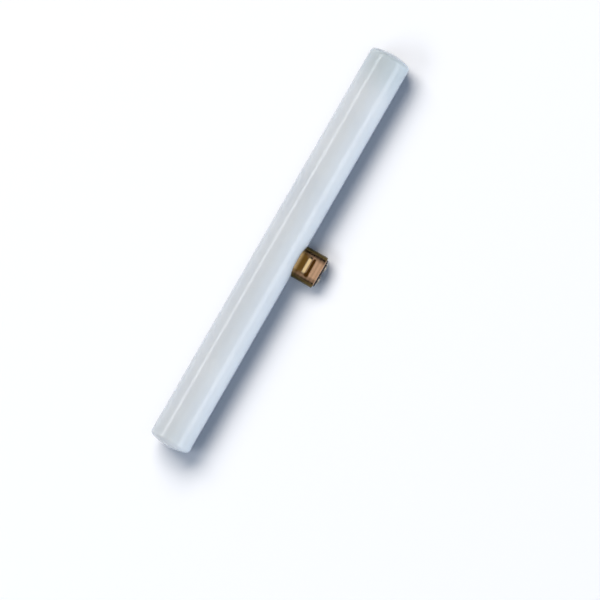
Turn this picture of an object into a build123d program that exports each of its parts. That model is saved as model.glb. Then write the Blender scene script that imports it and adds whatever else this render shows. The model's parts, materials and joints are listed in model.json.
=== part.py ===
from build123d import *

import os
from math import asin, atan2, degrees, hypot, sqrt

# Opal tubular lamp with one oblong plug-in cap at the middle of its length, in millimetres.
# It is built with the tube along X and the cap along +Z, and then laid down as it comes to rest.

# Glass tube with slightly domed ends, whose wall is thicker
tube_length = 300.0
tube_diameter = 29.0
glass_wall = 0.9
end_dome = 40.0
end_bevel = 1.2
end_wall = 2.2
hollow_bevel = 3.0

# Glass neck inside the cap, closed by a thick end that seals in the wires
neck_diameter = 11.0
neck_wall = 1.2
neck_end_wall = 3.0
neck_to_insulator = 4.3

# Drawn brass cap: length along the tube, thickness across it, height from the glass to the rim
cap_length = 23.0
cap_thickness = 14.0
cap_height = 15.8
sheet = 0.5
rim_bevel = 0.5
rim_lip = 1.6
saddle_gap = 0.3

# Snap rib stamped in both broad sides, and the groove stamped after a narrow flat on its rim side
rib_length = 12.4
rib_width = 2.8
rib_rise = 0.7
rib_from_rim = 10.2
groove_length = 12.4
groove_width = 2.0
groove_depth = 0.7
bead_flat = 0.5

# Cement between the glass and the cap
cement_to_rib = 0.4

# Fused insulator, with a plateau that stands through the turned-in rim
insulator_thickness = 3.0
plateau_rise = 1.15

# Contact eyelets, solder dots and lead-in wires
contact_pitch = 9.2
contact_diameter = 6.4
contact_thickness = 0.6
contact_edge = 0.2
stem_diameter = 2.4
stem_bore = 1.2
solder_diameter = 3.8
solder_height = 0.8
wire_diameter = 0.6
wire_seal_depth = 1.5

# Heights along the cap, measured from the tube's axis
tube_radius = tube_diameter / 2
cap_rim = tube_radius + cap_height
insulator_seat = cap_rim - sheet
insulator_back = insulator_seat - insulator_thickness
insulator_face = cap_rim + plateau_rise
contact_face = insulator_face + contact_thickness
solder_top = contact_face + solder_height
neck_end = insulator_back - neck_to_insulator
rib_height = cap_rim - rib_from_rim
groove_height = rib_height + rib_width / 2 + bead_flat + groove_width / 2
cement_end = rib_height - rib_width / 2 - cement_to_rib


def bead_radius(width, height):
    """Radius of a round bead of this width that stands this far from a flat face."""
    return (width**2 / 4 + height**2) / (2 * height)


# Beads as round bars: radius, straight length, and offset of their middles from mid-thickness of the cap
rib_radius = bead_radius(rib_width, rib_rise)
rib_straight = rib_length - rib_width
rib_offset = cap_thickness / 2 + rib_rise - rib_radius
groove_radius = bead_radius(groove_width, groove_depth)
groove_straight = groove_length - groove_width
groove_offset = cap_thickness / 2 - groove_depth + groove_radius

FROM_BASE = (Align.CENTER, Align.CENTER, Align.MIN)
TO_TOP = (Align.CENTER, Align.CENTER, Align.MAX)
ALONG_TUBE = (0, 90, 0)


def upright(diameter, start, end):
    """Round bar along the cap between two heights."""
    return Pos(0, 0, start) * Cylinder(diameter / 2, end - start, align=FROM_BASE)


def tube(radius, length):
    """Round bar along the tube, in the middle of the lamp."""
    return Cylinder(radius, length, rotation=ALONG_TUBE)


def glass_outside():
    """Dome-ended tube and its neck as one filled body."""
    end = tube_length / 2
    shoulder = end - end_dome + sqrt(end_dome**2 - tube_radius**2)
    outline = Line((-end, 0), (end, 0))
    outline += RadiusArc((end, 0), (shoulder, tube_radius), -end_dome)
    outline += Line((shoulder, tube_radius), (-shoulder, tube_radius))
    outline += RadiusArc((-shoulder, tube_radius), (-end, 0), -end_dome)
    section = make_face(outline)
    section = chamfer(section.vertices().group_by(Axis.Y)[-1], end_bevel)
    return revolve(section, Axis.X) + upright(neck_diameter, 0, neck_end)


def glass_inside():
    """Sealed hollow of the tube and neck, with flat, bevelled ends."""
    hollow = tube(tube_radius - glass_wall, tube_length - 2 * end_wall)
    hollow = chamfer(hollow.edges().filter_by(GeomType.CIRCLE), hollow_bevel)
    return hollow + upright(neck_diameter - 2 * neck_wall, 0, neck_end - neck_end_wall)


def oblong(inset, start, end):
    """Upright block with the cap's round-ended plan, pulled in by an inset, between two heights."""
    plan = SlotOverall(cap_length - 2 * inset, cap_thickness - 2 * inset)
    return extrude(Pos(0, 0, start) * plan, end - start)


def top_edges(block):
    """Outline of a block's upper face."""
    return block.faces().sort_by(Axis.Z)[-1].edges()


def on_both_sides(bar, offset, height):
    """Copies of a bar along both broad sides, at an offset from mid-thickness."""
    return [Pos(0, side * offset, height) * bar for side in (-1, 1)]


def ball_ended(radius, length):
    """Bar along the tube with a ball at each end of its length."""
    bar = tube(radius, length)
    for end in (-1, 1):
        bar += Pos(end * length / 2, 0, 0) * Sphere(radius)
    return bar


def cap_outside():
    """Filled form of the cap with its bevelled rim, raised ribs and pressed grooves."""
    form = oblong(0, 0, cap_rim)
    form = chamfer(top_edges(form), rim_bevel)
    rib = ball_ended(rib_radius, rib_straight)
    groove = ball_ended(groove_radius, groove_straight)
    form += on_both_sides(rib, rib_offset, rib_height)
    form -= on_both_sides(groove, groove_offset, groove_height)
    return form


def cap_inside():
    """Hollow of the cap, a sheet's thickness within its outside, with plain ends to the beads."""
    form = oblong(sheet, 0, insulator_seat)
    rib = tube(rib_radius - sheet, rib_straight)
    groove = tube(groove_radius + sheet, groove_length + 2 * sheet)
    form += on_both_sides(rib, rib_offset, rib_height)
    form -= on_both_sides(groove, groove_offset, groove_height)
    return form


def cap_shell():
    """Sheet cup open through its turned-in rim and cut to saddle the tube."""
    mouth = oblong(rim_lip, insulator_back, insulator_face)
    return cap_outside() - cap_inside() - mouth - tube(tube_radius + saddle_gap, tube_length)


def cap_cement(glass):
    """Cement ring between the tube, its neck and the upper walls of the cap."""
    return oblong(sheet, 0, cement_end) - glass


def at_contact(side):
    """Place of one contact's axis."""
    return Pos(side * contact_pitch / 2, 0, 0)


def contact_insulator():
    """Plug that fills the closed end of the cap, pierced for the two contact stems."""
    plug = oblong(sheet, insulator_back, insulator_seat)
    plug += oblong(rim_lip, insulator_seat, insulator_face)
    for side in (-1, 1):
        plug -= at_contact(side) * upright(stem_diameter, insulator_back, insulator_face)
    return plug


def contact_plate(side):
    """Round plate with a hollow stem through the insulator."""
    plate = upright(contact_diameter, insulator_face, contact_face)
    plate = chamfer(top_edges(plate), contact_edge)
    plate += upright(stem_diameter, insulator_back, insulator_face)
    plate -= upright(stem_bore, insulator_back, contact_face)
    return at_contact(side) * plate


def contact_solder(side):
    """Dome that closes the eyelet over the end of its wire."""
    ball = Sphere(bead_radius(solder_diameter, solder_height), align=TO_TOP)
    dome = Pos(0, 0, solder_top) * ball & upright(solder_diameter, contact_face, solder_top)
    return at_contact(side) * dome


def lead_wire(side):
    """Straight wire from its seal in the glass, through the contact's stem, to the solder."""
    return at_contact(side) * upright(wire_diameter, neck_end - wire_seal_depth, contact_face)


def rest_droop():
    """Angle of the cap below level when the tube and the bevelled rim both touch the ground."""
    along = cap_rim - rim_bevel
    across = cap_thickness / 2
    return degrees(asin(tube_radius / hypot(along, across)) - atan2(across, along))


def lamp():
    """All the pieces by node name, in the frame that the lamp is built in."""
    outside = glass_outside()
    pieces = {
        "opal_glass_tube": outside - glass_inside(),
        "cap_shell": cap_shell(),
        "cap_cement": cap_cement(outside),
        "contact_insulator": contact_insulator(),
    }
    for name, side in (("left", -1), ("right", 1)):
        wire = lead_wire(side)
        pieces["opal_glass_tube"] -= wire
        pieces["contact_plate_" + name] = contact_plate(side)
        pieces["contact_solder_" + name] = contact_solder(side)
        pieces["lead_wire_" + name] = wire
    return pieces


def laid_down(pieces):
    """Pieces turned to the lamp's rest, with the origin under the middle of the whole."""
    turned = {name: Rot(90 + rest_droop(), 0, 0) * piece for name, piece in pieces.items()}
    box = Compound(list(turned.values())).bounding_box()
    to_origin = Pos(-box.center().X, -box.center().Y, -box.min.Z)
    return {name: to_origin * piece for name, piece in turned.items()}


os.makedirs("parts", exist_ok=True)
for node, piece in laid_down(lamp()).items():
    export_step(piece, "parts/" + node + ".step")
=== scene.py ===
import json
from math import asin, cos, hypot, pi, radians, sin, sqrt

import bmesh
import bpy
from bpy.props import FloatProperty, FloatVectorProperty, PointerProperty
from mathutils import Matrix, Vector

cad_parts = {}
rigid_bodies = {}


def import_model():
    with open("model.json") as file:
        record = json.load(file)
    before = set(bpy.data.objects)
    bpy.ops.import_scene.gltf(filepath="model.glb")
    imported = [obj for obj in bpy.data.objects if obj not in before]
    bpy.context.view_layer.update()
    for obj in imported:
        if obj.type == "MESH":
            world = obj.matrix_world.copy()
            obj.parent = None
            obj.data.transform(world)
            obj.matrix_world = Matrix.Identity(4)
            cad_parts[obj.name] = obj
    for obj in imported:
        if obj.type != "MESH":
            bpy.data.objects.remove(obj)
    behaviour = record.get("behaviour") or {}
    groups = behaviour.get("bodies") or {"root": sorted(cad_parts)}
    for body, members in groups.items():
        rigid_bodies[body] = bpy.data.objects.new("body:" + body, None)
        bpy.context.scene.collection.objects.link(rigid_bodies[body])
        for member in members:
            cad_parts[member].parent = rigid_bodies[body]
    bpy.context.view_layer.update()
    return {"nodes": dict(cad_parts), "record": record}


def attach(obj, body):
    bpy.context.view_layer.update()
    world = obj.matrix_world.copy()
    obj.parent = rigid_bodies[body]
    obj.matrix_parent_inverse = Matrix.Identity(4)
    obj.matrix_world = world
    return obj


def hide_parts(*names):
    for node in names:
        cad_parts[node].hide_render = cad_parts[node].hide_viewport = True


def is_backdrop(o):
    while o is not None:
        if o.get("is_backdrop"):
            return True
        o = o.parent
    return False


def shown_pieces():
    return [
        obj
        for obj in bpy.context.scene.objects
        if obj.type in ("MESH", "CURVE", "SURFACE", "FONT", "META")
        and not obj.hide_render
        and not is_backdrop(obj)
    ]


bl_info = {
    "name": "Opal tubular lamp",
    "version": (1, 0, 0),
    "blender": (4, 5, 0),
    "location": "View3D > Sidebar > Lamp",
    "description": "Models and finishes an opal tubular lamp with a plug-in brass cap, over its solids",
    "category": "Object",
}

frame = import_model()

# The cap's rim and the way that the cap points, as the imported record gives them
PLUG = next(mount for mount in frame["record"]["mounts"] if mount["name"] == "plug_cap")
RIM_MIDDLE = Vector(PLUG["pos_m"])
CAP_AXIS = Vector(PLUG["axis"])
CAP_TURN = pi / 2 + asin(-CAP_AXIS.z)

# A millimetre in metres, and the distance under which two points count as one
MM = 0.001
SAME_PLACE = 0.001 * MM

# Share of a face's normal along an axis from which the face counts as facing that way
FACING = 0.9

# Sharpest edge that is shaded smooth
SMOOTHED_EDGE = radians(35)


def linear(code):
    """Linear red, green, blue and alpha of an sRGB hex colour."""
    parts = [int(code[i:i + 2], 16) / 255 for i in (1, 3, 5)]
    return (*[p / 12.92 if p <= 0.04045 else ((p + 0.055) / 1.055) ** 2.4 for p in parts], 1.0)


def length(name, description, millimetres):
    """A property for a length of the lamp."""
    return FloatProperty(
        name=name, description=description, default=millimetres * MM, min=0.0, precision=5, unit="LENGTH")


def colour(name, description, code):
    """A property for a colour of the lamp or its stage."""
    return FloatVectorProperty(
        name=name, description=description, default=linear(code), size=4, min=0.0, max=1.0, subtype="COLOR")


class LampSizes(bpy.types.PropertyGroup):
    """Sizes of the lamp's visible pieces"""

    tube_length: length("Tube length", "Glass tube over its domed ends", 300.0)
    tube_diameter: length("Tube diameter", "Outside of the glass tube", 29.0)
    end_dome: length("End dome", "Radius of the slightly domed tube ends", 40.0)
    end_round: length("End rounding", "Setback of the rounding between tube and dome", 2.4)
    cap_length: length("Cap length", "Cap along the tube", 23.0)
    cap_thickness: length("Cap thickness", "Cap between its broad sides", 14.0)
    cap_rim: length("Cap rim", "Rim of the cap from the tube's axis", 30.3)
    cap_start: length("Cap start", "Start of the wall from the tube's axis, before the saddle is cut", 12.0)
    sheet: length("Sheet", "Thickness of the cap's brass", 0.5)
    rim_round: length("Rim rounding", "Radius of the drawn rim", 0.7)
    rim_lip: length("Rim lip", "Turned-in lip of the cap, from its outside", 1.6)
    saddle_gap: length("Saddle gap", "Between the cap's cut edge and the glass", 0.3)
    bead_length: length("Bead length", "Snap rib and snap groove along the tube", 12.4)
    rib_from_rim: length("Rib from rim", "Middle of the snap rib from the rim", 10.2)
    rib_width: length("Rib width", "Snap rib at its foot", 2.8)
    rib_rise: length("Rib rise", "Snap rib out of the broad side", 0.7)
    groove_from_rim: length("Groove from rim", "Middle of the snap groove from the rim", 7.3)
    groove_width: length("Groove width", "Snap groove at its mouth", 2.0)
    groove_depth: length("Groove depth", "Snap groove into the broad side", 0.7)
    insulator_rise: length("Insulator rise", "Insulator past the rim", 1.15)
    insulator_seat: length("Insulator seat", "Lower side of the insulator's plateau below the rim", 0.5)
    contact_pitch: length("Contact pitch", "Between the middles of the two contacts", 9.2)
    contact_diameter: length("Contact diameter", "Contact plate", 6.4)
    contact_thickness: length("Contact thickness", "Contact plate", 0.6)
    solder_diameter: length("Solder diameter", "Solder dome at its foot", 3.8)
    solder_height: length("Solder height", "Solder dome over the contact plate", 0.8)

    # Heights along the cap, from the tube's axis
    @property
    def tube_radius(self):
        return self.tube_diameter / 2

    @property
    def rib_height(self):
        return self.cap_rim - self.rib_from_rim

    @property
    def groove_height(self):
        return self.cap_rim - self.groove_from_rim

    @property
    def insulator_face(self):
        return self.cap_rim + self.insulator_rise

    @property
    def contact_face(self):
        return self.insulator_face + self.contact_thickness


class LampColours(bpy.types.PropertyGroup):
    """Colours of the lamp's finishes and of its stage"""

    opal: colour("Opal", "Opal glass where it is densest", "#DCE2E9")
    opal_thin: colour("Thin opal", "Opal glass where the white layer is thinner", "#CFD7E1")
    # Greyer opal at both ends of the tube, most at the +x end
    opal_greyed: colour("Greyed opal", "Opal glass at the tube's ends, greyed by the hot gas", "#C7D2DA")
    brass: colour("Brass", "Drawn brass near the rim", "#D3AF93")
    # Brass darkened next to the glass: painted shade of the tube, which overhangs the cap there
    brass_shaded: colour("Heated brass", "Brass browned by heat near the glass", "#6C5124")
    # Worn brass that is also a painted highlight: the snap rib and the trimmed edge are painted lighter for
    # the gleam they catch
    brass_worn_and_highlit: colour("Worn brass", "Snap rib rubbed bright in its holder", "#F9DFAE")
    # Dark painted shade in the snap groove and in a blot at its end
    groove_shade: colour("Tarnish", "Dark tarnish in the snap groove", "#543610")
    # Dark olive painted shade on the round ends, which turn away from the lights; the faint draw rings near
    # the rim take this tone too
    ring_tone_and_end_shade: colour("Patina", "Olive patina on the round ends, which no holder rubs", "#5C4C14")
    insulator: colour("Insulator", "Fused black glass", "#141012")
    fire_mark: colour("Fire mark", "Black glass where the flame has marked it", "#2A2226")
    contact: colour("Contact", "Tin on the contact plate", "#E2DED2")
    contact_bare: colour("Bare contact", "Contact plate where the brass shows through", "#CFC6AE")
    solder: colour("Solder", "Tin solder", "#C4C5C6")
    solder_frosted: colour("Frosted solder", "Tin solder where it has frosted", "#9A9B9D")
    cement: colour("Cement", "Capping cement", "#AB9B80")
    cement_grit: colour("Cement grit", "Stone dust in the cement", "#8C7D66")
    copper: colour("Copper", "Lead-in wire", "#BC7A55")
    copper_stained: colour("Stained copper", "Lead-in wire where it is stained", "#8F5A3E")
    floor: colour("Floor", "Plain pale floor", "#FAFAFB")
    sky: colour("Sky", "Faint light from all round", "#83ABDD")


def select_nothing():
    """Leaves edit mode and selects nothing."""
    if bpy.context.object and bpy.context.object.mode != "OBJECT":
        bpy.ops.object.mode_set(mode="OBJECT")
    bpy.ops.object.select_all(action="DESELECT")


def select_only(piece):
    """Selects one piece and makes it the active one."""
    select_nothing()
    piece.select_set(True)
    bpy.context.view_layer.objects.active = piece


def pick(kind, test):
    """Selects the vertices, edges or faces of the mesh under edit that pass a test."""
    bpy.ops.mesh.select_all(action="DESELECT")
    bpy.ops.mesh.select_mode(type=kind)
    mesh = bmesh.from_edit_mesh(bpy.context.object.data)
    for element in {"VERT": mesh.verts, "EDGE": mesh.edges, "FACE": mesh.faces}[kind]:
        if test(element):
            element.select_set(True)
    mesh.select_flush_mode()
    bmesh.update_edit_mesh(bpy.context.object.data)


def edit(name):
    """Names the new primitive, puts its place into its mesh and opens it for editing."""
    piece = bpy.context.object
    piece.name = name
    piece.data.name = name
    bpy.ops.object.transform_apply(location=True, rotation=True, scale=True)
    bpy.ops.object.mode_set(mode="EDIT")
    return piece


def close_up():
    """Merges points that lie in one place, turns all faces outwards and leaves edit mode."""
    bpy.ops.mesh.select_all(action="SELECT")
    bpy.ops.mesh.remove_doubles(threshold=SAME_PLACE)
    bpy.ops.mesh.normals_make_consistent(inside=False)
    bpy.ops.object.mode_set(mode="OBJECT")


def apply(piece, kind, **settings):
    """Adds a modifier with its settings and applies it."""
    modifier = piece.modifiers.new(kind.title(), kind)
    for field, value in settings.items():
        setattr(modifier, field, value)
    bpy.ops.object.modifier_apply(modifier=modifier.name)


def tube_middle(sizes):
    """Middle of the tube, from which the pieces are measured while they are modelled."""
    return RIM_MIDDLE - CAP_AXIS * sizes.cap_rim


def lay_down(piece, sizes):
    """Turns a piece that was modelled with the cap upright to where the lamp lies, and applies that."""
    piece.rotation_euler = (CAP_TURN, 0.0, 0.0)
    piece.location = tube_middle(sizes)
    bpy.ops.object.transform_apply(location=True, rotation=True, scale=True)


def stand_for(piece, material, slot, *nodes):
    """Gives a piece its finish, hides the solids that it stands for and ties it to the lamp's body."""
    bpy.ops.object.shade_smooth_by_angle(angle=SMOOTHED_EDGE)
    piece.data.materials.clear()
    piece.data.materials.append(material)
    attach(piece, "root")
    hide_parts(*nodes)


def add(tree, kind, fields=None, inputs=None):
    """Adds a node, sets its fields, and fills or links its inputs."""
    node = tree.nodes.new(kind)
    for field, value in (fields or {}).items():
        setattr(node, field, value)
    for socket, value in (inputs or {}).items():
        if isinstance(value, bpy.types.NodeSocket):
            tree.links.new(value, node.inputs[socket])
        else:
            node.inputs[socket].default_value = value
    return node


def new_material(name):
    """An empty node material."""
    material = bpy.data.materials.new(name)
    material.use_nodes = True
    material.node_tree.nodes.clear()
    return material, material.node_tree


def opal_glass(colours, sizes):
    """Drawn glass flashed with a milky white layer: a soft, cool white body under a clear gloss.
    The white layer clouds slightly and is greyed at the tube's ends, and the drawn surface waves."""
    material, tree = new_material("Opal flashed glass")
    place = add(tree, "ShaderNodeTexCoord").outputs["Object"]
    # Clouds in the white layer are about 35 mm across
    cloud = add(tree, "ShaderNodeTexNoise", None, {"Vector": place, "Scale": 1 / (35 * MM), "Detail": 3.0})
    tone = add(tree, "ShaderNodeMix", {"data_type": "RGBA"}, {
        "Factor": cloud.outputs["Fac"], "A": colours.opal_thin, "B": colours.opal})
    # The ends are greyed a little, and most of all the +x end
    lengthwise = add(tree, "ShaderNodeSeparateXYZ", None, {"Vector": place}).outputs["X"]
    for end, most in ((sizes.tube_length / 2, 1.0), (-sizes.tube_length / 2, 0.25)):
        grey = add(tree, "ShaderNodeMapRange", {"interpolation_type": "SMOOTHSTEP"}, {
            "Value": lengthwise, "From Min": 0.76 * end, "From Max": 0.95 * end, "To Max": most})
        tone = add(tree, "ShaderNodeMix", {"data_type": "RGBA"}, {
            "Factor": grey.outputs["Result"], "A": tone.outputs["Result"], "B": colours.opal_greyed})
    # Draw waves are about 5 mm wide and run ten times as far along the tube
    along = add(tree, "ShaderNodeMapping", None, {"Vector": place, "Scale": (0.1, 1.0, 1.0)})
    wave = add(tree, "ShaderNodeTexNoise", None, {
        "Vector": along.outputs["Vector"], "Scale": 1 / (5 * MM), "Detail": 1.0})
    bump = add(tree, "ShaderNodeBump", None, {
        "Height": wave.outputs["Fac"], "Strength": 0.06, "Distance": 0.1 * MM})
    gloss = add(tree, "ShaderNodeMapRange", None, {
        "Value": cloud.outputs["Fac"], "To Min": 0.12, "To Max": 0.17})
    shader = add(tree, "ShaderNodeBsdfPrincipled", None, {
        "Base Color": tone.outputs["Result"], "Roughness": gloss.outputs["Result"], "IOR": 1.52,
        "Subsurface Weight": 0.5, "Subsurface Radius": (0.9, 0.95, 1.0), "Subsurface Scale": 6 * MM,
        "Normal": bump.outputs["Normal"]})
    add(tree, "ShaderNodeOutputMaterial", None, {"Surface": shader.outputs["BSDF"]})
    return material


def out_of_painted_shade(tree, aside, up, stain, sizes):
    """How far the brass lies out of the painted shade next to the glass: 0 next to the glass, in front of
    the neck, and 1 near the rim.
    The painted shade stands for the tube's shade on the cap. It reaches less far on the round ends, and
    stains make its edge uneven."""
    to_rim = add(tree, "ShaderNodeMapRange", None, {
        "Value": up, "From Min": sizes.tube_radius, "From Max": sizes.cap_rim})
    to_end = add(tree, "ShaderNodeMapRange", {"interpolation_type": "SMOOTHSTEP"}, {
        "Value": aside, "From Min": 0.15 * sizes.cap_length, "From Max": 0.4 * sizes.cap_length,
        "To Max": 0.42})
    less_shaded = add(tree, "ShaderNodeMath", {"operation": "ADD"}, {
        0: to_rim.outputs["Result"], 1: to_end.outputs["Result"]})
    uneven = add(tree, "ShaderNodeMath", {"operation": "MULTIPLY_ADD"}, {
        0: stain, 1: 0.3, 2: less_shaded.outputs["Value"]})
    spared = add(tree, "ShaderNodeMapRange", {"interpolation_type": "SMOOTHSTEP"}, {
        "Value": uneven.outputs["Value"], "From Min": 0.35, "From Max": 0.9})
    return spared.outputs["Result"]


def ringed_brass(tree, cap, colours):
    """Clean brass with faint rings that the draw has left, 2.65 mm apart and parallel to the rim."""
    # A wave texture of scale 1 repeats every pi / 10
    wave = add(tree, "ShaderNodeTexWave", {"bands_direction": "Z"}, {
        "Vector": cap, "Scale": pi / 10 / (2.65 * MM), "Phase Offset": 0.53, "Distortion": 0.6,
        "Detail Scale": 0.3})
    ring = add(tree, "ShaderNodeMapRange", None, {
        "Value": wave.outputs["Fac"], "To Min": 0.28, "To Max": 0.0})
    ringed = add(tree, "ShaderNodeMix", {"data_type": "RGBA"}, {
        "Factor": ring.outputs["Result"], "A": colours.brass, "B": colours.ring_tone_and_end_shade})
    return ringed.outputs["Result"]


def at_trimmed_edge(tree, out, up, sizes):
    """How bright the edge that was trimmed to the saddle stays, as bare cut metal and as a painted
    highlight, which fades over 2.6 mm.
    """
    around = add(tree, "ShaderNodeCombineXYZ", None, {"Y": out, "Z": up})
    off_axis = add(tree, "ShaderNodeVectorMath", {"operation": "LENGTH"}, {0: around.outputs["Vector"]})
    edge = sizes.tube_radius + sizes.saddle_gap
    near = add(tree, "ShaderNodeMapRange", {"interpolation_type": "SMOOTHSTEP"}, {
        "Value": off_axis.outputs["Value"], "From Min": edge + 2.6 * MM, "From Max": edge, "To Max": 0.45})
    return near.outputs["Result"]


def shade_on_round_end(tree, aside, sizes):
    """How much painted shade darkens the round ends, which grows as they turn away from the broad sides and
    from the lights.
    """
    turned = add(tree, "ShaderNodeMapRange", {"interpolation_type": "SMOOTHSTEP"}, {
        "Value": aside, "From Min": 0.32 * sizes.cap_length, "From Max": 0.44 * sizes.cap_length,
        "To Max": 0.95})
    return turned.outputs["Result"]


def near_bead(tree, aside, up, half_straight, height, reach):
    """How near a place lies to the middle line of a bead: 1 on it, and 0 past its edge."""
    past = add(tree, "ShaderNodeMath", {"operation": "SUBTRACT", "use_clamp": True}, {
        0: aside, 1: half_straight})
    off = add(tree, "ShaderNodeMath", {"operation": "SUBTRACT"}, {0: up, 1: height})
    both = add(tree, "ShaderNodeCombineXYZ", None, {"X": past.outputs["Value"], "Y": off.outputs["Value"]})
    away = add(tree, "ShaderNodeVectorMath", {"operation": "LENGTH"}, {0: both.outputs["Vector"]})
    near = add(tree, "ShaderNodeMapRange", {"interpolation_type": "SMOOTHSTEP"}, {
        "Value": away.outputs["Value"], "From Min": reach, "From Max": 0.5 * reach})
    return near.outputs["Result"]


def in_groove_end_shade(tree, cap, sizes):
    """How dark the painted shade in a blot at one end of the groove is, on the broad side that lies up.
    It is darkest within 1 mm of its middle and gone at 2.2 mm."""
    middle = (
        -0.46 * sizes.bead_length, sizes.cap_thickness / 2, sizes.cap_rim - 1.04 * sizes.groove_from_rim)
    away = add(tree, "ShaderNodeVectorMath", {"operation": "DISTANCE"}, {0: cap, 1: middle})
    inside = add(tree, "ShaderNodeMapRange", {"interpolation_type": "SMOOTHSTEP"}, {
        "Value": away.outputs["Value"], "From Min": 2.2 * MM, "From Max": 1 * MM})
    return inside.outputs["Result"]


def drawn_brass(colours, sizes):
    """Painted shade darkens the end next to the glass, all but its trimmed edge, which is bare with a
    painted highlight.
    The snap rib is rubbed bright and painted lighter for its highlight. The groove and a blot at its end
    hold painted shade, and painted shade darkens the round ends as they turn from the lights."""
    material, tree = new_material("Drawn brass")
    place = add(tree, "ShaderNodeTexCoord").outputs["Object"]
    cap = add(tree, "ShaderNodeMapping", {"vector_type": "TEXTURE"}, {
        "Vector": place, "Location": tube_middle(sizes), "Rotation": (CAP_TURN, 0.0, 0.0)}).outputs["Vector"]
    axes = add(tree, "ShaderNodeSeparateXYZ", None, {"Vector": cap}).outputs
    aside = add(tree, "ShaderNodeMath", {"operation": "ABSOLUTE"}, {0: axes["X"]}).outputs["Value"]
    out, up = axes["Y"], axes["Z"]
    # Stains are about 4 mm across
    stain = add(tree, "ShaderNodeTexNoise", None, {
        "Vector": cap, "Scale": 1 / (4 * MM), "Detail": 4.0}).outputs["Fac"]
    on_rib = near_bead(
        tree, aside, up, (sizes.bead_length - sizes.rib_width) / 2, sizes.rib_height, 0.55 * sizes.rib_width)
    in_groove = near_bead(
        tree, aside, up, sizes.bead_length / 2 - 0.3 * sizes.groove_width, sizes.groove_height,
        0.6 * sizes.groove_width)
    # Each finish covers its share of those before it
    finishes = (
        # Painted shade next to the glass, with plain ringed brass nearer the rim
        (out_of_painted_shade(tree, aside, up, stain, sizes), ringed_brass(tree, cap, colours)),
        # Trimmed edge: bare cut metal with a painted highlight
        (at_trimmed_edge(tree, out, up, sizes), colours.brass_worn_and_highlit),
        # Painted shade on the round ends
        (shade_on_round_end(tree, aside, sizes), colours.ring_tone_and_end_shade),
        # Snap rib: rubbed bright, and painted lighter for its highlight
        (on_rib, colours.brass_worn_and_highlit),
        # Painted shade in the groove and in a blot at its end
        (in_groove, colours.groove_shade),
        (in_groove_end_shade(tree, cap, sizes), colours.groove_shade),
    )
    tone = colours.brass_shaded
    for share, finish in finishes:
        tone = add(tree, "ShaderNodeMix", {"data_type": "RGBA"}, {
            "Factor": share, "A": tone, "B": finish}).outputs["Result"]
    # Draw lines are finer than 0.1 mm, and are drawn 0.35 mm wide so that they show
    drawn = add(tree, "ShaderNodeMapping", None, {"Vector": cap, "Scale": (1.0, 1.0, 0.04)})
    line = add(tree, "ShaderNodeTexNoise", None, {
        "Vector": drawn.outputs["Vector"], "Scale": 1 / (0.35 * MM), "Detail": 2.0})
    bump = add(tree, "ShaderNodeBump", None, {
        "Height": line.outputs["Fac"], "Strength": 0.2, "Distance": 0.04 * MM})
    dull = add(tree, "ShaderNodeMapRange", None, {"Value": stain, "To Min": 0.2, "To Max": 0.38})
    shader = add(tree, "ShaderNodeBsdfPrincipled", None, {
        "Base Color": tone, "Metallic": 1.0, "Roughness": dull.outputs["Result"],
        "Normal": bump.outputs["Normal"]})
    add(tree, "ShaderNodeOutputMaterial", None, {"Surface": shader.outputs["BSDF"]})
    return material


def black_glass(colours):
    """Black glass fused into the cap: a wet black gloss with fire marks and small pits."""
    material, tree = new_material("Fused black glass")
    place = add(tree, "ShaderNodeTexCoord").outputs["Object"]
    # Fire marks are about 1.5 mm across, pits about 0.5 mm
    mark = add(tree, "ShaderNodeTexNoise", None, {"Vector": place, "Scale": 1 / (1.5 * MM), "Detail": 2.0})
    pit = add(tree, "ShaderNodeTexVoronoi", None, {"Vector": place, "Scale": 1 / (0.5 * MM)})
    deep = add(tree, "ShaderNodeMapRange", None, {"Value": pit.outputs["Distance"], "From Max": 0.25})
    both = add(tree, "ShaderNodeMath", {"operation": "MULTIPLY_ADD"}, {
        0: mark.outputs["Fac"], 1: 0.6, 2: deep.outputs["Result"]})
    bump = add(tree, "ShaderNodeBump", None, {
        "Height": both.outputs["Value"], "Strength": 0.3, "Distance": 0.05 * MM})
    tone = add(tree, "ShaderNodeMix", {"data_type": "RGBA"}, {
        "Factor": mark.outputs["Fac"], "A": colours.insulator, "B": colours.fire_mark})
    gloss = add(tree, "ShaderNodeMapRange", None, {
        "Value": mark.outputs["Fac"], "To Min": 0.06, "To Max": 0.2})
    shader = add(tree, "ShaderNodeBsdfPrincipled", None, {
        "Base Color": tone.outputs["Result"], "Roughness": gloss.outputs["Result"], "IOR": 1.55,
        "Normal": bump.outputs["Normal"]})
    add(tree, "ShaderNodeOutputMaterial", None, {"Surface": shader.outputs["BSDF"]})
    return material


def rough_metal(name, tone, other, patch, roughness, relief):
    """Soft or plated metal: two tones in patches of a size, duller in the second, with a low relief."""
    material, tree = new_material(name)
    place = add(tree, "ShaderNodeTexCoord").outputs["Object"]
    worn = add(tree, "ShaderNodeTexNoise", None, {"Vector": place, "Scale": 1 / patch, "Detail": 5.0})
    mix = add(tree, "ShaderNodeMix", {"data_type": "RGBA"}, {
        "Factor": worn.outputs["Fac"], "A": tone, "B": other})
    dull = add(tree, "ShaderNodeMapRange", None, {
        "Value": worn.outputs["Fac"], "To Min": roughness - 0.1, "To Max": roughness + 0.1})
    bump = add(tree, "ShaderNodeBump", None, {
        "Height": worn.outputs["Fac"], "Strength": 0.4, "Distance": relief})
    shader = add(tree, "ShaderNodeBsdfPrincipled", None, {
        "Base Color": mix.outputs["Result"], "Metallic": 1.0, "Roughness": dull.outputs["Result"],
        "Normal": bump.outputs["Normal"]})
    add(tree, "ShaderNodeOutputMaterial", None, {"Surface": shader.outputs["BSDF"]})
    return material


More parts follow.
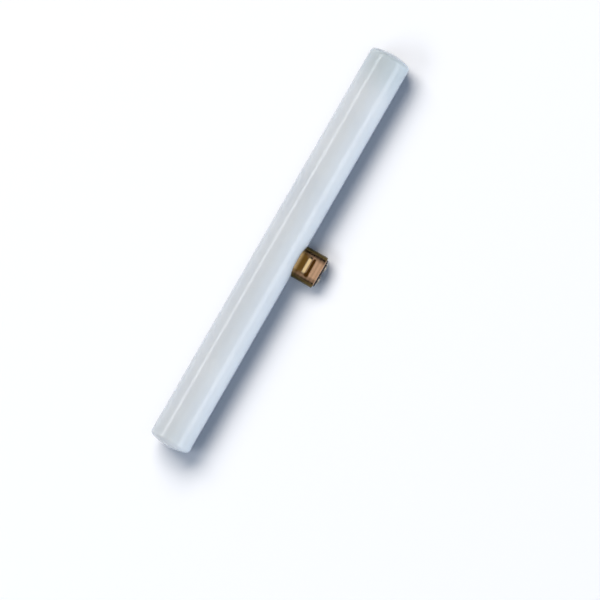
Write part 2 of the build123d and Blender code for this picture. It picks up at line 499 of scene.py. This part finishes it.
def capping_cement(colours):
    """Baked resin cement filled with stone dust: matt, and gritty to the eye."""
    material, tree = new_material("Capping cement")
    place = add(tree, "ShaderNodeTexCoord").outputs["Object"]
    # Grit is about 0.3 mm across
    grit = add(tree, "ShaderNodeTexNoise", None, {"Vector": place, "Scale": 1 / (0.3 * MM), "Detail": 3.0})
    tone = add(tree, "ShaderNodeMix", {"data_type": "RGBA"}, {
        "Factor": grit.outputs["Fac"], "A": colours.cement, "B": colours.cement_grit})
    bump = add(tree, "ShaderNodeBump", None, {
        "Height": grit.outputs["Fac"], "Strength": 0.6, "Distance": 0.1 * MM})
    shader = add(tree, "ShaderNodeBsdfPrincipled", None, {
        "Base Color": tone.outputs["Result"], "Roughness": 0.9, "Normal": bump.outputs["Normal"]})
    add(tree, "ShaderNodeOutputMaterial", None, {"Surface": shader.outputs["BSDF"]})
    return material


def oblong_ring(outer_length, thickness, height, name):
    """Opens a new piece with one round-ended ring of edges at a height."""
    arc_steps = 96
    bpy.ops.mesh.primitive_circle_add(
        vertices=arc_steps, radius=thickness / 2, fill_type="NOTHING",
        location=(0, 0, height), rotation=(0, 0, pi / arc_steps))
    piece = edit(name)
    half_straight = (outer_length - thickness) / 2
    for side in (1, -1):
        pick("VERT", lambda v: v.co.x * side > 0)
        bpy.ops.transform.translate(value=(side * half_straight, 0, 0))
    pick("EDGE", lambda e: e.calc_length() > half_straight)
    bpy.ops.mesh.subdivide(number_cuts=20)
    bpy.ops.mesh.select_all(action="SELECT")
    return piece


def even_steps(start, end, spacing):
    """Equal steps from one height to another, about a spacing apart."""
    count = max(1, round((end - start) / spacing))
    return [(end - start) / count] * count


def press_bead(full_length, height, width, rise, way):
    """Presses a round bead into both broad sides of the cap in low steps, outward or inward."""
    steps = 7
    half_straight = (full_length - width) / 2
    radius = (width**2 / 4 + rise**2) / (2 * rise)
    for step in range(steps):
        lifted = (step + 0.5) / steps * rise
        reach = sqrt(radius**2 - (radius - rise + lifted) ** 2)
        for side in (1, -1):
            pick("VERT", lambda v: v.co.y * side > 0 and hypot(
                max(abs(v.co.x) - half_straight, 0), v.co.z - height) < reach)
            bpy.ops.transform.translate(value=(0, side * way * rise / steps, 0))


class LAMP_OT_glass_tube(bpy.types.Operator):
    """Model the opal glass tube with its slightly domed, softly rounded ends"""

    bl_idname = "lamp.glass_tube"
    bl_label = "Glass tube"

    def dome_end(self, sizes, side):
        """Insets one end ring by ring and lifts each to the dome, with room outside for the rounding."""
        rings = 10
        innermost = 0.05
        first = sizes.tube_radius - 1.5 * sizes.end_round
        pick("FACE", lambda f: f.normal.x * side > FACING)
        at = sizes.tube_radius
        for ring in range(rings + 1):
            to = first * (1 - (1 - innermost) * ring / rings)
            bpy.ops.mesh.inset(thickness=at - to)
            rise = sqrt(sizes.end_dome**2 - to**2) - sqrt(sizes.end_dome**2 - at**2)
            bpy.ops.transform.translate(value=(side * rise, 0, 0))
            at = to
        bpy.ops.mesh.poke()

    def execute(self, context):
        sizes = context.scene.lamp_sizes
        radius = sizes.tube_radius
        dome_middle = sizes.tube_length / 2 - sizes.end_dome
        shoulder = dome_middle + sqrt(sizes.end_dome**2 - radius**2)
        select_nothing()
        bpy.ops.mesh.primitive_cylinder_add(
            vertices=160, radius=radius, depth=2 * shoulder, end_fill_type="NGON", rotation=(0, pi / 2, 0))
        tube = edit("opal_tube")
        for side in (1, -1):
            self.dome_end(sizes, side)
        # The corners between tube and domes are rounded, and the long faces cut to shorter ones
        pick("EDGE", lambda e: e.calc_length() < radius and all(
            abs(hypot(v.co.y, v.co.z) - radius) < SAME_PLACE for v in e.verts))
        bpy.ops.mesh.bevel(offset=sizes.end_round, segments=8, affect="EDGES")
        pick("EDGE", lambda e: e.calc_length() > shoulder)
        bpy.ops.mesh.subdivide(number_cuts=24)
        close_up()
        tube.location = tube_middle(sizes)
        bpy.ops.object.transform_apply(location=True, rotation=True, scale=True)
        stand_for(tube, opal_glass(context.scene.lamp_colours, sizes), "opal_glass", "opal_glass_tube")
        return {"FINISHED"}


class LAMP_OT_cap_shell(bpy.types.Operator):
    """Model the drawn brass cap with its turned-in rim, snap ribs and grooves, saddled on the tube"""

    bl_idname = "lamp.cap_shell"
    bl_label = "Brass cap"

    def draw_cup(self, sizes):
        """Draws the wall up to the rim, rounds the rim and opens it inside the turned-in lip."""
        cap = oblong_ring(sizes.cap_length, sizes.cap_thickness, sizes.cap_start, "brass_cap")
        # Rows of faces are about 0.9 mm high, and lower where the beads are pressed
        plain_row = 0.9 * MM
        bead_row = 0.28 * MM
        beads_start = sizes.rib_height - sizes.rib_width
        beads_end = sizes.groove_height + sizes.groove_width
        rim_start = sizes.cap_rim - 2 * sizes.rim_round
        rows = even_steps(sizes.cap_start, beads_start, plain_row)
        rows += even_steps(beads_start, beads_end, bead_row)
        rows += even_steps(beads_end, rim_start, plain_row)
        # The last row is left whole for the rim's rounding
        rows += [sizes.cap_rim - rim_start]
        for row in rows:
            bpy.ops.mesh.extrude_edges_move(TRANSFORM_OT_translate={"value": (0, 0, row)})
        bpy.ops.mesh.edge_face_add()
        pick("EDGE", lambda e: all(abs(v.co.z - sizes.cap_rim) < SAME_PLACE for v in e.verts))
        bpy.ops.mesh.bevel(offset=sizes.rim_round, segments=6, affect="EDGES")
        pick("FACE", lambda f: len(f.verts) > 4)
        bpy.ops.mesh.inset(thickness=sizes.rim_lip - sizes.rim_round)
        bpy.ops.mesh.delete(type="FACE")
        return cap

    def press_beads(self, sizes):
        """Presses the snap ribs and grooves, and softens the bends of the sheet around them."""
        press_bead(sizes.bead_length, sizes.rib_height, sizes.rib_width, sizes.rib_rise, 1)
        press_bead(sizes.bead_length, sizes.groove_height, sizes.groove_width, sizes.groove_depth, -1)
        softened = 3 * MM
        pick("VERT", lambda v: sizes.rib_height - softened < v.co.z < sizes.groove_height + softened)
        bpy.ops.mesh.vertices_smooth(factor=0.5, repeat=2)

    def cut_saddle(self, cap, sizes):
        """Cuts the open end of the cap to sit on the tube."""
        select_nothing()
        bpy.ops.mesh.primitive_cylinder_add(
            vertices=256, radius=sizes.tube_radius + sizes.saddle_gap, depth=2 * sizes.cap_length,
            rotation=(0, pi / 2, 0))
        cutter = bpy.context.object
        select_only(cap)
        apply(cap, "BOOLEAN", operation="DIFFERENCE", object=cutter, solver="EXACT")
        bpy.data.objects.remove(cutter)

    def execute(self, context):
        sizes = context.scene.lamp_sizes
        select_nothing()
        cap = self.draw_cup(sizes)
        self.press_beads(sizes)
        close_up()
        apply(cap, "SOLIDIFY", thickness=sizes.sheet, offset=-1.0)
        self.cut_saddle(cap, sizes)
        lay_down(cap, sizes)
        stand_for(cap, drawn_brass(context.scene.lamp_colours, sizes), "cap_brass", "cap_shell")
        return {"FINISHED"}


class LAMP_OT_insulator(bpy.types.Operator):
    """Model the fused black glass that closes the cap's mouth"""

    bl_idname = "lamp.insulator"
    bl_label = "Insulator"

    def execute(self, context):
        sizes = context.scene.lamp_sizes
        seat = sizes.cap_rim - sizes.insulator_seat
        face = sizes.insulator_face
        mouth_length = sizes.cap_length - 2 * sizes.rim_lip
        mouth_width = sizes.cap_thickness - 2 * sizes.rim_lip
        select_nothing()
        plug = oblong_ring(mouth_length, mouth_width, seat, "black_glass")
        bpy.ops.mesh.edge_face_add()
        bpy.ops.mesh.extrude_region_move(TRANSFORM_OT_translate={"value": (0, 0, face - seat)})
        pick("EDGE", lambda e: all(abs(v.co.z - face) < SAME_PLACE for v in e.verts))
        bpy.ops.mesh.bevel(offset=0.4 * (face - seat), segments=5, affect="EDGES")
        close_up()
        lay_down(plug, sizes)
        stand_for(plug, black_glass(context.scene.lamp_colours), "black_glass", "contact_insulator")
        return {"FINISHED"}


class LAMP_OT_contacts(bpy.types.Operator):
    """Model the two contact plates and the solder domes on them"""

    bl_idname = "lamp.contacts"
    bl_label = "Contacts"

    def plate(self, sizes, at):
        """A round plate with a shallow dish and rounded edges."""
        radius = sizes.contact_diameter / 2
        brim = 0.12 * sizes.contact_diameter
        dish_slope = 0.03 * sizes.contact_diameter
        dish_depth = 0.2 * sizes.contact_thickness
        edge_round = 0.18 * sizes.contact_thickness
        bpy.ops.mesh.primitive_cylinder_add(
            vertices=64, radius=radius, depth=sizes.contact_thickness,
            location=(at, 0, sizes.insulator_face + sizes.contact_thickness / 2))
        plate = edit("contact_left")
        pick("FACE", lambda f: f.normal.z > FACING)
        bpy.ops.mesh.inset(thickness=brim)
        bpy.ops.mesh.inset(thickness=dish_slope)
        bpy.ops.transform.translate(value=(0, 0, -dish_depth))
        pick("EDGE", lambda e: abs(e.verts[0].co.z - e.verts[1].co.z) < SAME_PLACE and all(
            abs(hypot(v.co.x - at, v.co.y) - radius) < SAME_PLACE for v in e.verts))
        bpy.ops.mesh.bevel(offset=edge_round, segments=4, affect="EDGES")
        bpy.ops.object.mode_set(mode="OBJECT")
        return plate

    def dome(self, sizes, at):
        """A squat solder dome, cut level inside the plate, with a run to one side."""
        foot = sizes.contact_face
        radius = sizes.solder_diameter / 2
        sunk = 0.1 * sizes.solder_diameter
        top = foot + 0.8 * sizes.solder_height
        run = 0.08 * sizes.solder_diameter
        run_reach = 0.3 * sizes.solder_diameter
        bpy.ops.mesh.primitive_uv_sphere_add(
            segments=48, ring_count=32, radius=radius, location=(at, 0, foot))
        dome = edit("solder_left")
        bpy.ops.mesh.select_all(action="SELECT")
        bpy.ops.mesh.bisect(
            plane_co=(0, 0, foot - sunk), plane_no=(0, 0, 1), clear_inner=True, use_fill=True)
        bpy.ops.mesh.select_all(action="SELECT")
        bpy.ops.transform.resize(
            value=(1, 1, sizes.solder_height / radius), center_override=(at, 0, foot))
        pick("VERT", lambda v: v.co.z > top)
        bpy.ops.transform.translate(
            value=(0, run, 0), use_proportional_edit=True, proportional_size=run_reach)
        bpy.ops.object.mode_set(mode="OBJECT")
        return dome

    def execute(self, context):
        sizes = context.scene.lamp_sizes
        colours = context.scene.lamp_colours
        # Tinned brass: a pale plate on which the brass shows through in 1 mm patches
        tinned = rough_metal("Tinned brass", colours.contact, colours.contact_bare, 1 * MM, 0.28, 0.02 * MM)
        # Tin solder set in air: dull silver, frosted in 0.6 mm patches
        solder = rough_metal("Tin solder", colours.solder, colours.solder_frosted, 0.6 * MM, 0.38, 0.04 * MM)
        for shape, material, slot, piece_name, node in (
            (self.plate, tinned, "contact_brass", "contact_", "contact_plate_"),
            (self.dome, solder, "solder", "solder_", "contact_solder_"),
        ):
            select_nothing()
            left = shape(sizes, -sizes.contact_pitch / 2)
            lay_down(left, sizes)
            bpy.ops.object.duplicate()
            right = context.object
            right.name = piece_name + "right"
            right.data.name = right.name
            right.location.x += sizes.contact_pitch
            bpy.ops.object.transform_apply(location=True, rotation=True, scale=True)
            stand_for(right, material, slot, node + "right")
            select_only(left)
            stand_for(left, material, slot, node + "left")
        return {"FINISHED"}


class LAMP_OT_inner_pieces(bpy.types.Operator):
    """Finish the cement and the lead-in wires, whose solids have their right shape"""

    bl_idname = "lamp.inner_pieces"
    bl_label = "Cement and wires"

    def execute(self, context):
        colours = context.scene.lamp_colours
        cement = capping_cement(colours)
        # Drawn copper wire: warm and bright, stained in 0.8 mm patches
        copper = rough_metal(
            "Drawn copper", colours.copper, colours.copper_stained, 0.8 * MM, 0.3, 0.01 * MM)
        finishes = {"cap_cement": cement, "lead_wire_left": copper, "lead_wire_right": copper}
        for node, material in finishes.items():
            frame["nodes"][node].material_slots[0].material = material
        return {"FINISHED"}


# Soft boxes: name, way to it, distance, width and height, watts, tint, what it shines on, how it is seen
SOFT_BOXES = (
    ("key", (0.42, 0.485, 0.865), 12.0, (9.6, 6.5), 1530.0, "#FFFBF6", "floor", "light"),
    ("opposite", (-0.6, 0.42, 0.9), 6.0, (4.0, 1.9), 90.0, "#F0F7FF", "floor", "light"),
    ("fill", (-0.12, -0.342, 0.94), 6.0, (4.0, 1.7), 58.0, "#D8E8FF", "floor", "light"),
    ("even", (0.0, -0.15, 1.0), 2.0, (2.2, 2.2), 49.5, "#FDF7EC", "lamp", "light"),
    ("key_flank", (0.1, 1.0, 0.1), 2.0, (2.4, 0.6), 19.0, "#FFFCF8", "lamp", "light"),
    ("cap_flank", (0.0, -1.0, 0.1), 2.0, (2.4, 0.6), 15.0, "#CAE6FF", "lamp", "light"),
    ("strip", (0.0, 0.66, 0.75), 2.0, (3.0, 0.5), 15.5, "#F8FAFF", "glass", "reflection"),
    ("broad", (0.0, -0.945, 0.325), 2.0, (3.0, 1.0), 22.0, "#F4F8FF", "glass", "reflection"),
    ("cap_sky", (-0.1, -0.29, 0.95), 2.4, (7.2, 12.0), 108.0, "#FFF8F0", "cap", "reflection"),
    ("cap_card", (0.0, -0.29, 0.96), 2.0, (1.5, 7.0), 14.0, "#FFF8F0", "cap", "reflection"),
)


class LAMP_OT_stage(bpy.types.Operator):
    """Set the pale floor, the studio light and the camera"""

    bl_idname = "lamp.stage"
    bl_label = "Stage"

    def lay_floor(self, colours):
        """Plain pale paper, far wider than the view."""
        bpy.ops.mesh.primitive_plane_add(size=30.0)
        floor = bpy.context.object
        floor.name = "floor"
        material, tree = new_material("Pale paper floor")
        shader = add(tree, "ShaderNodeBsdfPrincipled", None, {
            "Base Color": colours.floor, "Roughness": 0.9, "Specular IOR Level": 0.0})
        add(tree, "ShaderNodeOutputMaterial", None, {"Surface": shader.outputs["BSDF"]})
        floor.data.materials.append(material)
        floor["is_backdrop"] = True
        return floor

    def lit_things(self, floor):
        """Collections of what a light can shine on, by name."""
        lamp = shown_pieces()
        glass = [piece for piece in lamp if piece.name == "opal_tube"]
        cap = [piece for piece in lamp if piece not in glass]
        lit = {}
        for name, things in (("floor", [floor]), ("lamp", lamp), ("glass", glass), ("cap", cap)):
            lit[name] = bpy.data.collections.new("Lit " + name)
            for thing in things:
                lit[name].objects.link(thing)
        return lit

    def soft_box(self, name, target, way, distance, size, power, tint, receivers, seen):
        """A soft box that faces the lamp, shines on some things only, and lights them or shows in them."""
        way = Vector(way).normalized()
        bpy.ops.object.light_add(type="AREA", location=target + way * distance)
        box = bpy.context.object
        box.name = name
        box.rotation_euler = way.to_track_quat("Z", "Y").to_euler()
        box.data.shape = "RECTANGLE"
        box.data.size, box.data.size_y = size
        box.data.energy = power
        box.data.color = linear(tint)[:3]
        box.visible_camera = False
        box.visible_diffuse = seen == "light"
        box.visible_glossy = seen == "reflection"
        box.light_linking.receiver_collection = receivers

    def light_sky(self, scene):
        """Faint light from all round, which doesn't show in the gloss."""
        world = bpy.data.worlds.new("Studio")
        world.use_nodes = True
        background = world.node_tree.nodes["Background"]
        background.inputs["Color"].default_value = scene.lamp_colours.sky
        background.inputs["Strength"].default_value = 0.12
        world.cycles_visibility.glossy = False
        scene.world = world

    def aim_camera(self, scene, target):
        """A camera that looks steeply down on the cap's side, rolled so that the tube runs up and right."""
        height, roll = radians(77), radians(60.05)
        view_width = 398 * MM
        # The view's middle lies to the left of the tube's and below it, as seen before the roll
        aim_left, aim_below = 22 * MM, 27.8 * MM
        back = Vector((0, -cos(height), sin(height)))
        up = Vector((0, sin(height), cos(height)))
        right = Vector((1, 0, 0))
        across = right * cos(roll) - up * sin(roll)
        upward = right * sin(roll) + up * cos(roll)
        bpy.ops.object.camera_add()
        camera = bpy.context.object
        camera.data.lens = 300.0
        camera.data.clip_end = 50.0
        aim = target - right * aim_left - up * aim_below
        place = aim + back * view_width * camera.data.lens / camera.data.sensor_width
        turn = Matrix((across, upward, back)).transposed().to_4x4()
        camera.matrix_world = Matrix.Translation(place) @ turn
        scene.camera = camera

    def execute(self, context):
        scene = context.scene
        target = tube_middle(scene.lamp_sizes)
        select_nothing()
        lit = self.lit_things(self.lay_floor(scene.lamp_colours))
        # The floor takes no glow from the glass, which would drown the soft shadow all round it
        for piece in lit["glass"].objects:
            piece.visible_diffuse = False
        for name, way, distance, size, power, tint, receivers, seen in SOFT_BOXES:
            self.soft_box(name, target, way, distance, size, power, tint, lit[receivers], seen)
        self.light_sky(scene)
        scene.view_settings.view_transform = "Standard"
        self.aim_camera(scene, target)
        return {"FINISHED"}


class VIEW3D_PT_tubular_lamp(bpy.types.Panel):
    """Sizes, colours and pieces of the lamp"""

    bl_label = "Tubular lamp"
    bl_space_type = "VIEW_3D"
    bl_region_type = "UI"
    bl_category = "Lamp"

    def draw(self, context):
        for group in (context.scene.lamp_sizes, context.scene.lamp_colours):
            box = self.layout.box()
            for field in group.__annotations__:
                box.prop(group, field)
        for operator in OPERATORS:
            self.layout.operator(operator.bl_idname)


OPERATORS = (
    LAMP_OT_glass_tube,
    LAMP_OT_cap_shell,
    LAMP_OT_insulator,
    LAMP_OT_contacts,
    LAMP_OT_inner_pieces,
    LAMP_OT_stage,
)
CLASSES = (LampSizes, LampColours, *OPERATORS, VIEW3D_PT_tubular_lamp)


def register():
    for item in CLASSES:
        bpy.utils.register_class(item)
    bpy.types.Scene.lamp_sizes = PointerProperty(type=LampSizes)
    bpy.types.Scene.lamp_colours = PointerProperty(type=LampColours)


def unregister():
    del bpy.types.Scene.lamp_colours
    del bpy.types.Scene.lamp_sizes
    for item in reversed(CLASSES):
        bpy.utils.unregister_class(item)


def main():
    register()
    bpy.ops.lamp.glass_tube()
    bpy.ops.lamp.cap_shell()
    bpy.ops.lamp.insulator()
    bpy.ops.lamp.contacts()
    bpy.ops.lamp.inner_pieces()
    bpy.ops.lamp.stage()


if __name__ == "__main__":
    main()
